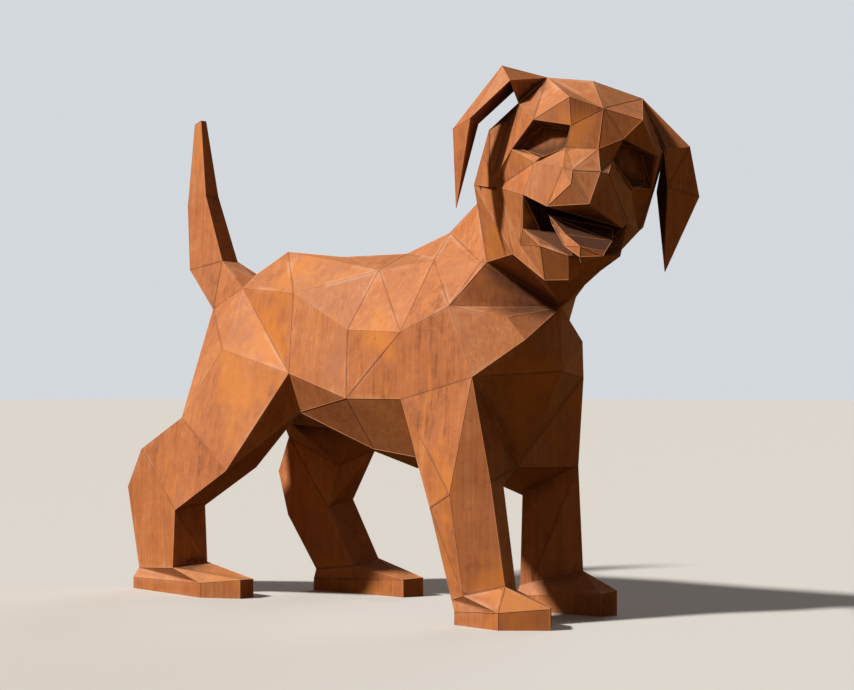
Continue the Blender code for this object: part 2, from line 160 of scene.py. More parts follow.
# %% [markdown]
# ## Node helpers
# A finish is a chain of small nodes. Short helpers add a node, do one sum, mix two colours, make a
# soft step or a noise, and start a group, so that each recipe below reads as a list of its steps.

# %% Helpers that build node chains
def add(tree, kind, **settings):
    """Adds a node of that kind to a tree, with its settings, and returns it."""
    node = tree.nodes.new(kind)
    for key, value in settings.items():
        setattr(node, key, value)
    return node


def feed(tree, socket, value):
    """Links value to a socket if it is another node's output, and otherwise sets it."""
    if isinstance(value, bpy.types.NodeSocket):
        tree.links.new(value, socket)
    else:
        socket.default_value = value


def sum_of(tree, operation, first, second=0.0, third=0.0):
    """One Math node."""
    node = add(tree, "ShaderNodeMath", operation=operation)
    for socket, value in zip(node.inputs, (first, second, third)):
        feed(tree, socket, value)
    return node.outputs[0]


def blend_colours(tree, share, first, second):
    """Mixes a share of the second colour into the first."""
    node = add(tree, "ShaderNodeMix", data_type="RGBA", blend_type="MIX")
    feed(tree, node.inputs["Factor"], share)
    feed(tree, node.inputs[6], first)
    feed(tree, node.inputs[7], second)
    return node.outputs[2]


def product(tree, *values):
    """All the values multiplied."""
    total = values[0]
    for value in values[1:]:
        total = sum_of(tree, "MULTIPLY", total, value)
    return total


def step_between(tree, value, low, high):
    """0 below low, 1 above high and a soft step between them."""
    node = add(tree, "ShaderNodeMapRange", interpolation_type="SMOOTHSTEP")
    for name, number in zip(("Value", "From Min", "From Max"), (value, low, high)):
        feed(tree, node.inputs[name], number)
    return node.outputs["Result"]


def fade(tree, value, low, high):
    """1 below low, 0 above high and a soft step between them."""
    return sum_of(tree, "SUBTRACT", 1.0, step_between(tree, value, low, high))


def grain(tree, place, size, detail, roughness=0.55):
    """Soft noise whose patches are about size metres across."""
    node = add(tree, "ShaderNodeTexNoise")
    feed(tree, node.inputs["Vector"], place)
    node.inputs["Scale"].default_value = 1.0 / size
    node.inputs["Detail"].default_value = detail
    node.inputs["Roughness"].default_value = roughness
    return node.outputs["Fac"]


def facing_up(tree):
    """How far the surface faces up: 1 for a level top, 0 for an upright plate, -1 for a belly."""
    parts = add(tree, "ShaderNodeSeparateXYZ")
    feed(tree, parts.inputs[0], add(tree, "ShaderNodeNewGeometry").outputs["Normal"])
    return parts.outputs["Z"]


def new_group(name, inputs, outputs):
    """An empty shader group with named sockets, and its input and output nodes."""
    tree = bpy.data.node_groups.new(name, "ShaderNodeTree")
    for label, kind, value in inputs:
        socket = tree.interface.new_socket(label, in_out="INPUT", socket_type=kind)
        socket.default_value = value
    for label, kind in outputs:
        tree.interface.new_socket(label, in_out="OUTPUT", socket_type=kind)
    return tree, add(tree, "NodeGroupInput"), add(tree, "NodeGroupOutput")


print("node helpers are ready")

# %% [markdown]
# ## The rust
# Weathering steel rusts to one dense coat. Rain runs down it, so upright plates carry fine
# streaks a few millimetres wide and a few broader orange drips, over soft patches a hand wide,
# with dark flecks a grain wide.
# One noise squeezed sideways and stretched upwards gives the streaks. On a plate that faces up,
# the same noise turns into an even mottle, as it does on the real back.

# %% The rust's sizes and colours
FLOAT = "NodeSocketFloat"
COLOUR = "NodeSocketColor"
STREAK_WIDTH = 0.006
STREAK_LENGTH = 0.26
BAND_WIDTH = 0.030
BAND_LENGTH = 0.45
DRIP_WIDTH = 0.022
DRIP_LENGTH = 0.50
PATCH_SIZE = 0.115
BLOT_SIZE = 0.024
FLECK_SIZE = 0.0075
GRIT_SIZE = 0.0022
HUE_SIZE = 0.19

STREAK_WEIGHT = 0.70
BAND_WEIGHT = 0.42
PATCH_WEIGHT = 0.85
BLOT_WEIGHT = 0.50
GRIT_WEIGHT = 0.30

DEEP_TO_MIDDLE = (0.05, 0.5)
MIDDLE_TO_BRIGHT = (0.45, 1.0)
WARM_RUST = (0.62, 0.205, 0.028, 1.0)
WARM_STEP = (0.52, 0.68)
WARM_SHARE = 0.65
MAUVE_RUST = (0.40, 0.165, 0.092, 1.0)
MAUVE_WIDTH = HUE_SIZE * 0.6
MAUVE_LENGTH = HUE_SIZE * 1.5
MAUVE_STEP = (0.55, 0.70)
MAUVE_SHARE = 0.40
DRIP_RUST = (0.66, 0.22, 0.035, 1.0)
DRIP_STEP = (0.56, 0.70)
DRIP_SHARE = 0.32
FLECK_STEP = (0.61, 0.69)
FLECKED_PATCH_STEP = (0.50, 0.64)
FLECK_SHARE = 0.55
COAT_INPUTS = (
    ("Deep", COLOUR, (0.235, 0.070, 0.021, 1.0)), ("Middle", COLOUR, (0.45, 0.145, 0.046, 1.0)),
    ("Bright", COLOUR, (0.62, 0.258, 0.100, 1.0)), ("Fleck", COLOUR, (0.12, 0.036, 0.014, 1.0)),
    ("Streaks", FLOAT, 1.0), ("Flecks", FLOAT, 1.0), ("Shift", FLOAT, 0.0), ("Tone", FLOAT, 0.0))
print("streaks are", 1000 * STREAK_WIDTH, "mm wide and", 1000 * STREAK_LENGTH, "mm long")

# %% [markdown]
# ## The rust coat as one shader group
# One tone runs from deep brown to bright orange: the noises push it up and down, each by its own
# weight. Then warm patches, mauve patches, orange drips and dark flecks are laid over it. The same
# noises give the roughness and a height for the bump, so that colour and relief agree.

# %% The rust coat as one shader group


def upright(tree, place, width, length):
    """A place squeezed sideways and stretched upwards, so that noise turns into streaks."""
    node = add(tree, "ShaderNodeMapping")
    node.inputs["Scale"].default_value = (1.0 / width, 1.0 / width, 1.0 / length)
    feed(tree, node.inputs["Vector"], place)
    return node.outputs["Vector"]


def pushed(tree, tone, noise_value, *weights):
    """A tone pushed up or down by a noise around a half, by the product of the weights."""
    swing = product(tree, sum_of(tree, "SUBTRACT", noise_value, 0.5), *weights)
    return sum_of(tree, "ADD", tone, swing)


def laid_over(tree, colour, mask, share, over):
    """A colour with a share of another laid over it where the mask is 1."""
    return blend_colours(tree, product(tree, mask, share), colour, over)


def build_rust_coat():
    tree, given, result = new_group(
        "rust_coat", COAT_INPUTS, [("Color", COLOUR), ("Roughness", FLOAT), ("Height", FLOAT)])
    moved = add(tree, "ShaderNodeVectorMath", operation="ADD")
    feed(tree, moved.inputs[0], add(tree, "ShaderNodeTexCoord").outputs["Object"])
    feed(tree, moved.inputs[1], given.outputs["Shift"])
    place = moved.outputs["Vector"]
    streaky = given.outputs["Streaks"]

    streaks = grain(tree, upright(tree, place, STREAK_WIDTH, STREAK_LENGTH), 1.0, 3.0, 0.6)
    bands = grain(tree, upright(tree, place, BAND_WIDTH, BAND_LENGTH), 1.0, 4.0, 0.55)
    patches = grain(tree, place, PATCH_SIZE, 5.0, 0.6)
    blots = grain(tree, place, BLOT_SIZE, 4.0, 0.65)
    grit = grain(tree, place, GRIT_SIZE, 2.0, 0.5)
    tone = sum_of(tree, "ADD", given.outputs["Tone"], 0.5)
    tone = pushed(tree, tone, streaks, STREAK_WEIGHT, streaky)
    tone = pushed(tree, tone, bands, BAND_WEIGHT, streaky)
    for value, weight in ((patches, PATCH_WEIGHT), (blots, BLOT_WEIGHT), (grit, GRIT_WEIGHT)):
        tone = pushed(tree, tone, value, weight)
    to_middle = step_between(tree, tone, *DEEP_TO_MIDDLE)
    to_bright = step_between(tree, tone, *MIDDLE_TO_BRIGHT)
    colour = blend_colours(tree, to_middle, given.outputs["Deep"], given.outputs["Middle"])
    colour = blend_colours(tree, to_bright, colour, given.outputs["Bright"])

    warm = step_between(tree, grain(tree, place, HUE_SIZE, 3.0), *WARM_STEP)
    colour = laid_over(tree, colour, warm, WARM_SHARE, WARM_RUST)
    mauve = grain(tree, upright(tree, place, MAUVE_WIDTH, MAUVE_LENGTH), 1.0, 4.0)
    mauve = step_between(tree, mauve, *MAUVE_STEP)
    colour = laid_over(tree, colour, mauve, MAUVE_SHARE, MAUVE_RUST)
    drips = grain(tree, upright(tree, place, DRIP_WIDTH, DRIP_LENGTH), 1.0, 2.0)
    drips = product(tree, step_between(tree, drips, *DRIP_STEP), streaky)
    colour = laid_over(tree, colour, drips, DRIP_SHARE, DRIP_RUST)
    flecks = step_between(tree, grain(tree, place, FLECK_SIZE, 3.0, 0.7), *FLECK_STEP)
    flecked = step_between(tree, patches, *FLECKED_PATCH_STEP)
    flecks = product(tree, flecks, flecked, given.outputs["Flecks"])
    colour = laid_over(tree, colour, flecks, FLECK_SHARE, given.outputs["Fleck"])
    feed(tree, result.inputs["Color"], colour)

    dull = sum_of(tree, "MULTIPLY_ADD", blots, 0.28, 0.50)
    feed(tree, result.inputs["Roughness"], sum_of(tree, "MULTIPLY_ADD", flecks, 0.12, dull))
    height = sum_of(tree, "MULTIPLY_ADD", grit, 0.5, product(tree, blots, 0.5))
    feed(tree, result.inputs["Height"], sum_of(tree, "MULTIPLY_ADD", flecks, -0.35, height))
    return tree


rust_coat = build_rust_coat()
print("rust coat nodes:", len(rust_coat.nodes))

# %% [markdown]
# ## Wear along the joints, with painted light and shade by facing
# Every joint was welded and then cleaned with a grinder, which left a paler, smoother band on
# each side in places, most of all on plates that face up. Rain holds in the flat seams, so a thin
# dark line of dirt runs beside some of them, and the sharp ridges stay clean. Both follow numbers
# that each point of a plate carries: its distances to the nearest ridge and the nearest seam.
# Plates that face the sky are paler, partly from bleaching and partly as painted top light, and
# plates that face the ground are darker with painted shade.

# %% The wear and the painted facing light as one shader group
TOP_STEP = (0.15, 0.9)
GROUND_BAND = (0.002, 0.014)
GROUND_PATCH = 0.16
GROUND_STEP = (0.50, 0.62)
GROUND_STEEL = (0.66, 0.36, 0.22, 1.0)
DIRT_BAND = (0.001, 0.005)
DIRT_PATCH = 0.09
DIRT_STEP = (0.38, 0.58)
DIRT = (0.11, 0.038, 0.016, 1.0)
DIRT_SHARE = 0.5
# Painted light by facing: a paler top, partly bleaching, and painted shade on the undersides.
SKY_BLEACH_AND_LIGHT = (0.52, 0.26, 0.14, 1.0)
SKY_BLEACH_AND_LIGHT_SHARE = 0.20
UNDERSIDE_SHADE = (0.14, 0.05, 0.02, 1.0)
UNDERSIDE_SHADE_STEP = (-0.9, -0.1)
UNDERSIDE_SHADE_SHARE = 0.5
WEAR_AND_FACING_LIGHT_INPUTS = (
    ("Color", COLOUR, (0.4, 0.12, 0.04, 1.0)), ("Roughness", FLOAT, 0.7), ("Ridge", FLOAT, 1.0),
    ("Seam", FLOAT, 1.0), ("Ground", FLOAT, 1.0), ("Dirt", FLOAT, 1.0), ("Bleach and light", FLOAT, 1.0))


def build_plate_wear_and_facing_light():
    tree, given, result = new_group(
        "plate_wear_and_facing_light", WEAR_AND_FACING_LIGHT_INPUTS, [("Color", COLOUR), ("Roughness", FLOAT)])
    place = add(tree, "ShaderNodeTexCoord").outputs["Object"]
    up = facing_up(tree)
    skyward = step_between(tree, up, *TOP_STEP)

    nearest = sum_of(tree, "MINIMUM", given.outputs["Ridge"], given.outputs["Seam"])
    near = fade(tree, nearest, *GROUND_BAND)
    here = step_between(tree, grain(tree, place, GROUND_PATCH, 3.0), *GROUND_STEP)
    more_on_top = sum_of(tree, "MULTIPLY_ADD", skyward, 0.45, 0.20)
    ground = product(tree, near, here, given.outputs["Ground"], more_on_top)
    colour = blend_colours(tree, ground, given.outputs["Color"], GROUND_STEEL)

    beside = fade(tree, given.outputs["Seam"], *DIRT_BAND)
    there = step_between(tree, grain(tree, place, DIRT_PATCH, 4.0), *DIRT_STEP)
    dirt = product(tree, beside, there, given.outputs["Dirt"])
    colour = laid_over(tree, colour, dirt, DIRT_SHARE, DIRT)
    # Painted top light, partly bleaching, on faces that turn up; painted shade on faces that turn down.
    bleach_and_light = product(tree, skyward, given.outputs["Bleach and light"])
    colour = laid_over(tree, colour, bleach_and_light, SKY_BLEACH_AND_LIGHT_SHARE, SKY_BLEACH_AND_LIGHT)
    colour = laid_over(tree, colour, fade(tree, up, *UNDERSIDE_SHADE_STEP), UNDERSIDE_SHADE_SHARE, UNDERSIDE_SHADE)
    feed(tree, result.inputs["Color"], colour)
    smoother = sum_of(tree, "MULTIPLY_ADD", ground, -0.14, given.outputs["Roughness"])
    feed(tree, result.inputs["Roughness"], smoother)
    return tree


plate_wear_and_facing_light = build_plate_wear_and_facing_light()
print("plate wear nodes:", len(plate_wear_and_facing_light.nodes))

# %% [markdown]
# ## Painted shade in the hollows
# The eye sockets and the mouth are boxes of plate, open only in front. Their insides are painted
# dark brown as shade. Each point of a plate carries another number, its open view: 1 in the open
# and near 0 deep in a hollow. The group paints shade into the coat where that number is low. The
# top of the tongue lies under the muzzle, so its finish also paints a shadow on what faces up.

# %% The painted hollow shade as one shader group
RAGGED_SIZE = 0.03
HOLLOW_STEP = (0.70, 1.02)
TOP_SHADOW_STEP = (0.35, 0.75)
HOLLOW_SHADE_INPUTS = (
    ("Color", COLOUR, (0.4, 0.12, 0.04, 1.0)), ("Roughness", FLOAT, 0.7),
    ("Open view", FLOAT, 1.0), ("Shade", COLOUR, (0.048, 0.015, 0.006, 1.0)),
    ("Depth", FLOAT, 1.0), ("Top shadow", FLOAT, 0.0))


def build_hollow_shade():
    tree, given, result = new_group(
        "hollow_shade", HOLLOW_SHADE_INPUTS, [("Color", COLOUR), ("Roughness", FLOAT)])
    uneven = grain(tree, add(tree, "ShaderNodeTexCoord").outputs["Object"], RAGGED_SIZE, 4.0)
    ragged = sum_of(tree, "MULTIPLY_ADD", uneven, 0.16, given.outputs["Open view"])
    # Painted shade: the coat turns dark brown where the open view is low, deep in the sockets and
    # mouth.
    closed = product(tree, fade(tree, ragged, *HOLLOW_STEP), given.outputs["Depth"])
    # Painted shadow: on the tongue, faces that turn up are darkened as if shaded by the muzzle.
    top = step_between(tree, facing_up(tree), *TOP_SHADOW_STEP)
    shade_share = sum_of(tree, "MAXIMUM", closed, product(tree, top, given.outputs["Top shadow"]))
    colour = blend_colours(tree, shade_share, given.outputs["Color"], given.outputs["Shade"])
    feed(tree, result.inputs["Color"], colour)
    rougher = sum_of(tree, "MULTIPLY_ADD", shade_share, 0.2, given.outputs["Roughness"])
    feed(tree, result.inputs["Roughness"], rougher)
    return tree


hollow_shade = build_hollow_shade()
print("hollow grime nodes:", len(hollow_shade.nodes))

# %% [markdown]
# ## One finish from three groups
# A finish lays the coat, wears it along the joints with painted light and shade by facing, and
# paints shade into the hollows. The numbers that a plate's points carry come in through Attribute
# nodes.

# %% Mix a finish
RELIEF = 0.0006
RUST_GLOSS = 0.35


def use_group(tree, group, values):
    """Places a group in a tree and gives its inputs these values or links."""
    node = add(tree, "ShaderNodeGroup")
    node.node_tree = group
    for name, value in values.items():
        feed(tree, node.inputs[name], value)
    return node


def carried(tree, name):
    """The number that each point carries under that name."""
    return add(tree, "ShaderNodeAttribute", attribute_name=name).outputs["Fac"]


def steel_finish(name, shift, coat, wear_and_facing_light, bump=0.35, depth=1.0, top_shadow=0.0):
    """A rusted steel material with its own values for the coat, the wear and the painted facing light.
    """
    material = bpy.data.materials.new(name)
    material.use_nodes = True
    tree = material.node_tree
    shader = tree.nodes["Principled BSDF"]
    rust = use_group(tree, rust_coat, {"Shift": shift, "Tone": carried(tree, "batch"), **coat})
    worn_and_facing_lit = use_group(tree, plate_wear_and_facing_light, {
        "Color": rust.outputs["Color"], "Roughness": rust.outputs["Roughness"],
        "Ridge": carried(tree, "ridge"), "Seam": carried(tree, "seam"), **wear_and_facing_light})
    dark = use_group(tree, hollow_shade, {
        "Color": worn_and_facing_lit.outputs["Color"], "Roughness": worn_and_facing_lit.outputs["Roughness"],
        "Open view": carried(tree, "open_view"), "Depth": depth, "Top shadow": top_shadow})
    feed(tree, shader.inputs["Base Color"], dark.outputs["Color"])
    feed(tree, shader.inputs["Roughness"], dark.outputs["Roughness"])
    relief = add(tree, "ShaderNodeBump")
    relief.inputs["Strength"].default_value = bump
    relief.inputs["Distance"].default_value = RELIEF
    feed(tree, relief.inputs["Height"], rust.outputs["Height"])
    feed(tree, shader.inputs["Normal"], relief.outputs["Normal"])
    shader.inputs["Specular IOR Level"].default_value = RUST_GLOSS
    return material


print("the bump under the rust is", 1000 * RELIEF, "mm deep")

# %% [markdown]
# ## The five finishes
# The body, the ears and the tongue are the same steel, each with its own shift of the pattern. The
# tongue is a little pinker. Weld beads are duller and rougher than plate, and dressed ridges are
# paler, partly from wear and partly as a painted highlight. Beads carry no open view, so their
# painted hollow shade is turned off.

# %% Make the finishes
# The depth sets how dark the painted shade in the body's hollows gets.
body_rust = steel_finish("body_rust", 0.0, {}, {}, depth=0.82)
ear_rust = steel_finish("ear_rust", 3.1, {}, {"Ground": 0.8})
# The tongue's top faces get a painted shadow from the muzzle above.
tongue_rust = steel_finish("tongue_rust", 7.7, {"Bright": (0.60, 0.22, 0.10, 1.0)}, {"Dirt": 0.4},
                           depth=0.95, top_shadow=0.93)
weld_rust = steel_finish(
    "weld_rust", 1.3,
    {"Streaks": 0.3, "Middle": (0.41, 0.135, 0.043, 1.0), "Bright": (0.52, 0.21, 0.080, 1.0)},
    {"Ground": 0.0, "Dirt": 0.0, "Bleach and light": 0.3}, bump=0.6, depth=0.0)
# Ridge colours are paler: partly wear, partly a painted highlight where light grazes the ridges.
worn_ridge_highlight_rust = steel_finish(
    "worn_ridge_highlight_rust", 2.2,
    {"Streaks": 0.4, "Middle": (0.60, 0.26, 0.12, 1.0), "Bright": (0.70, 0.36, 0.19, 1.0)},
    {"Ground": 0.0, "Dirt": 0.0, "Bleach and light": 0.5}, bump=0.4, depth=0.0)
print("finishes:", [m.name for m in bpy.data.materials if m.name.endswith("_rust")])

# %% [markdown]
# ## A net over the plates
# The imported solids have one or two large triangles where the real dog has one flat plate. Thin
# plate that has been welded all round is never quite flat: it bellies in or out by about a
# millimetre. To show that, and to let each point carry its own numbers, every triangle is tiled
# with small ones. Neighbours share the points along their common edge, so the net stays closed.

# %% Tile a triangle
NET_STEP = 0.011
RIM_GAP = 0.45
FOLD_ANGLE = math.radians(3.5)
BOW = 0.001


def edge_points(first, second, step):
    """Points from first to second, the same ones whichever end is named first."""
    turned = tuple(first) > tuple(second)
    start, end = (second, first) if turned else (first, second)
    count = max(1, round((end - start).length / step))
    points = [start.lerp(end, i / count) for i in range(count + 1)]
    return points[::-1] if turned else points


def flat_rim(corners, rim, across, along):
    """The rim's points in the triangle's own flat frame, each side bowed out by a hair."""
    flat = []
    for i, points in enumerate(rim):
        start, way = points[0], points[-1] - points[0]
        out = way.cross(across.cross(along)).normalized()
        for k, point in enumerate(points[:-1]):
            share = k / (len(points) - 1)
            bowed = point + out * (BOW * way.length * 4 * share * (1 - share)) - corners[0]
            flat.append(Vector((bowed.dot(across), bowed.dot(along))))
    return flat


def distance_inside(point, start, end):
    """How far a flat point lies to the left of the side from start to end."""
    way = (end - start).normalized()
    return way.x * (point.y - start.y) - way.y * (point.x - start.x)


def tile(corners, step):
    """Small triangles that fill the triangle of three corners, all facing the way it faces."""
    rim = [edge_points(corners[i], corners[(i + 1) % 3], step) for i in range(3)]
    across = (corners[1] - corners[0]).normalized()
    normal = across.cross(corners[2] - corners[0]).normalized()
    along = normal.cross(across)
    flat = flat_rim(corners, rim, across, along)
    marks = [Vector(((c - corners[0]).dot(across), (c - corners[0]).dot(along))) for c in corners]
    sides = [(marks[i], marks[(i + 1) % 3]) for i in range(3)]
    inner = []
    row_height = step * math.sqrt(3) / 2
    left, right = min(p.x for p in marks), max(p.x for p in marks)
    for row in range(1, int(marks[2].y / row_height) + 1):
        for column in range(int((right - left) / step) + 1):
            spot = Vector((left + (column + (row % 2) / 2) * step, row * row_height))
            if all(distance_inside(spot, *side) > step * RIM_GAP for side in sides):
                inner.append(spot)
    found = delaunay_2d_cdt(flat + inner, [], [], 0, 1e-9, True)
    on_rim = [point for points in rim for point in points[:-1]]
    placed = []
    for spot, origin in zip(found[0], found[3]):
        known = origin[0] < len(on_rim)
        placed.append(on_rim[origin[0]] if known else corners[0] + across * spot.x + along * spot.y)
    small = []
    for face in found[2]:
        points = [placed[i] for i in face]
        turned = (points[1] - points[0]).cross(points[2] - points[0]).dot(normal) < 0
        small.append(points[::-1] if turned else points)
    return small


print("the net's triangles are about", 1000 * NET_STEP, "mm wide")

# %% [markdown]
# ## The net over a whole node
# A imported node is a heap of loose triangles. A merged copy of it is tiled triangle by triangle,
# and the tiles are merged in turn. An edge where two plates meet at more than a slight angle is
# marked sharp, which is how the later steps find the joints.

# %% Lay the net over one node
CAD_MERGE = 1e-6
NET_MERGE = 2e-6


def merged(node_name):
    """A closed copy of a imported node's loose triangles, and the node's own mesh stays as it is."""
    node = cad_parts[node_name]
    work = bmesh.new()
    work.from_mesh(node.data)
    work.transform(node.matrix_world)
    bmesh.ops.remove_doubles(work, verts=work.verts, dist=CAD_MERGE)
    return work


def lay_net(node_name, step):
    """A fine closed net over a node, with the joints between its plates marked sharp."""
    work = merged(node_name)
    net = bmesh.new()
    for face in work.faces:
        for points in tile([v.co.copy() for v in face.verts], step):
            net.faces.new([net.verts.new(p) for p in points])
    work.free()
    bmesh.ops.remove_doubles(net, verts=net.verts, dist=NET_MERGE)
    for edge in net.edges:
        edge.smooth = edge.calc_face_angle(0.0) < FOLD_ANGLE
    for face in net.faces:
        face.smooth = True
    return net


nets = {name: lay_net(name, NET_STEP) for name in ("shell", "ear_right", "ear_left", "tongue")}
for name, net in nets.items():
    loose = sum(1 for e in net.edges if len(e.link_faces) != 2)
    print(name, len(net.faces), "small faces, open edges:", loose)

# %% [markdown]
# ## What each point of a plate carries
# Four numbers drive the wear. "ridge" and "seam" are the distances to the nearest sharp ridge
# and to the nearest flat or hollow joint between two plates. "batch" makes one plate a little
# lighter or darker than the next, because the plates were cut from different sheets. "open_view"
# comes from rays sent out from each point: where most of them soon hit other steel, the point
# lies in a hollow.

# %% Measure joints, batches and open views
HOLLOW_REACH = 0.22
RAY_LIFT = 0.0015
RAY_RINGS = ((0.35, 5), (0.75, 9), (1.15, 8))
BATCH_SPREAD = 0.13
WELD_LIMIT = math.radians(14.0)


def joint_edges(net, ridges=True, seams=True):
    """The edges along the joints: ridges stand out by over 14 degrees, seams don't."""
    found = []
    for edge in net.edges:
        ridge = edge.calc_face_angle_signed(0.0) >= WELD_LIMIT
        if not edge.smooth and (ridges if ridge else seams):
            found.append(edge)
    return found


def joint_tree(net, **kinds):
    """A lookup tree of the points along a net's joints."""
    spots = {vert for edge in joint_edges(net, **kinds) for vert in edge.verts}
    tree = KDTree(len(spots))
    for i, vert in enumerate(sorted(spots, key=lambda v: v.index)):
        tree.insert(vert.co, i)
    tree.balance()
    return tree


def plate_batches(net, seed):
    """Gives each plate, a patch of faces that no joint crosses, its own tone from a fixed seed."""
    layer = net.faces.layers.float.new("batch")
    dice = random.Random(seed)
    seen, count = set(), 0
    for first in net.faces:
        if first in seen:
            continue
        tone, count = dice.uniform(-BATCH_SPREAD, BATCH_SPREAD), count + 1
        waiting = [first]
        seen.add(first)
        while waiting:
            face = waiting.pop()
            face[layer] = tone
            for edge in face.edges:
                for other in edge.link_faces:
                    if edge.smooth and other not in seen:
                        seen.add(other)
                        waiting.append(other)
    return count


def sky_rays():
    """Fixed directions over the half globe around +Z, in rings."""
    rays = []
    for lean, count in RAY_RINGS:
        for i in range(count):
            turn = 2 * math.pi * (i + lean) / count
            across, along = math.sin(lean) * math.cos(turn), math.sin(lean) * math.sin(turn)
            rays.append(Vector((across, along, math.cos(lean))))
    return rays


all_steel = bmesh.new()
for name in nets:
    part = merged(name)
    mesh = bpy.data.meshes.new("all_steel_part")
    part.to_mesh(mesh)
    part.free()
    all_steel.from_mesh(mesh)
    bpy.data.meshes.remove(mesh)
steel_around = BVHTree.FromBMesh(all_steel)
all_steel.free()
RAYS = sky_rays()


def open_view(place, normal):
    """The share of rays from a point that meet no steel within reach."""
    turn = Vector((0, 0, 1)).rotation_difference(normal)
    start = place + normal * RAY_LIFT
    total = 0.0
    for ray in RAYS:
        distance = steel_around.ray_cast(start, turn @ ray, HOLLOW_REACH)[3]
        total += 1.0 if distance is None else distance / HOLLOW_REACH
    return total / len(RAYS)


# %% [markdown]
# ## Plates that belly
# Welding pulls a plate a little out of flat. A soft noise, a hand wide, moves the middle of each
# plate by less than a millimetre and fades to nothing at its joints, so the outline and the
# corners stay where the solids have them. It shows as a slow change of light over a plate. Then
# each net becomes one object that carries its numbers.

# %% Belly the plates and make them objects
WARP_HEIGHT = 0.0009
WARP_SIZE = 0.14
WARP_START = 0.035
FAR = 1.0


def measure_joints(net):
    """Writes each point's distance to the nearest ridge and to the nearest seam."""
    net.verts.index_update()
    for name, kinds in (("ridge", {"seams": False}), ("seam", {"ridges": False})):
        layer, tree = net.verts.layers.float.new(name), joint_tree(net, **kinds)
        for vert in net.verts:
            distance = tree.find(vert.co)[2]
            vert[layer] = FAR if distance is None else distance


def belly_out(net):
    """Moves the middle of each plate in or out by up to a millimetre and keeps its joints in place."""
    ridge, seam = (net.verts.layers.float[name] for name in ("ridge", "seam"))
    for vert in net.verts:
        share = min(1.0, min(vert[ridge], vert[seam]) / WARP_START)
        if share > 0.0:
            rise = noise.noise(vert.co / WARP_SIZE) * WARP_HEIGHT * share * share * (3 - 2 * share)
            vert.co += vert.normal * rise


def steel_piece(name, net, material, seed):
    """Turns a net into a finished object that carries its numbers."""
    net.normal_update()
    plates = plate_batches(net, seed)
    view = net.verts.layers.float.new("open_view")
    inward = {vert: Vector() for vert in net.verts}
    for face in net.faces:
        for vert in face.verts:
            inward[vert] += face.normal * face.calc_area()
    for vert in net.verts:
        vert[view] = open_view(vert.co, inward[vert].normalized())
    measure_joints(net)
    belly_out(net)
    mesh = bpy.data.meshes.new(name)
    net.to_mesh(mesh)
    mesh.materials.append(material)
    piece = bpy.data.objects.new(name, mesh)
    bpy.context.scene.collection.objects.link(piece)
    print(name, "has", plates, "plates and", len(mesh.polygons), "small faces")
    return piece


NODE_OF = {"body_plates": "shell", "ear_plates_right": "ear_right", "ear_plates_left": "ear_left",
           "tongue_plates": "tongue"}
FINISH_OF = {"shell": body_rust, "ear_right": ear_rust, "ear_left": ear_rust, "tongue": tongue_rust}
plates_of = {}
for seed, (name, node) in enumerate(NODE_OF.items(), start=11):
    plates_of[node] = steel_piece(name, nets[node], FINISH_OF[node], seed)

# %% [markdown]
# ## Weld beads and dressed edges
# Where two plates meet nearly flat or in a hollow angle, the weld stands up as a dull bead about
# 2 mm wide. Where they meet in a sharp ridge, the weld was ground round, and the ridge is paler,
# partly from wear and partly as a painted highlight. Both are one small tube per joint, so a
# Geometry Nodes tree makes them: it turns a wire into a curve, steps along it, swells and pinches
# the radius as a hand weld does, sweeps a small circle along it, and sets a ball on each end so
# that the corners close.

# %% The bead tree
TUBE_SIDES = 6
BALL_SUBDIVISIONS = 2


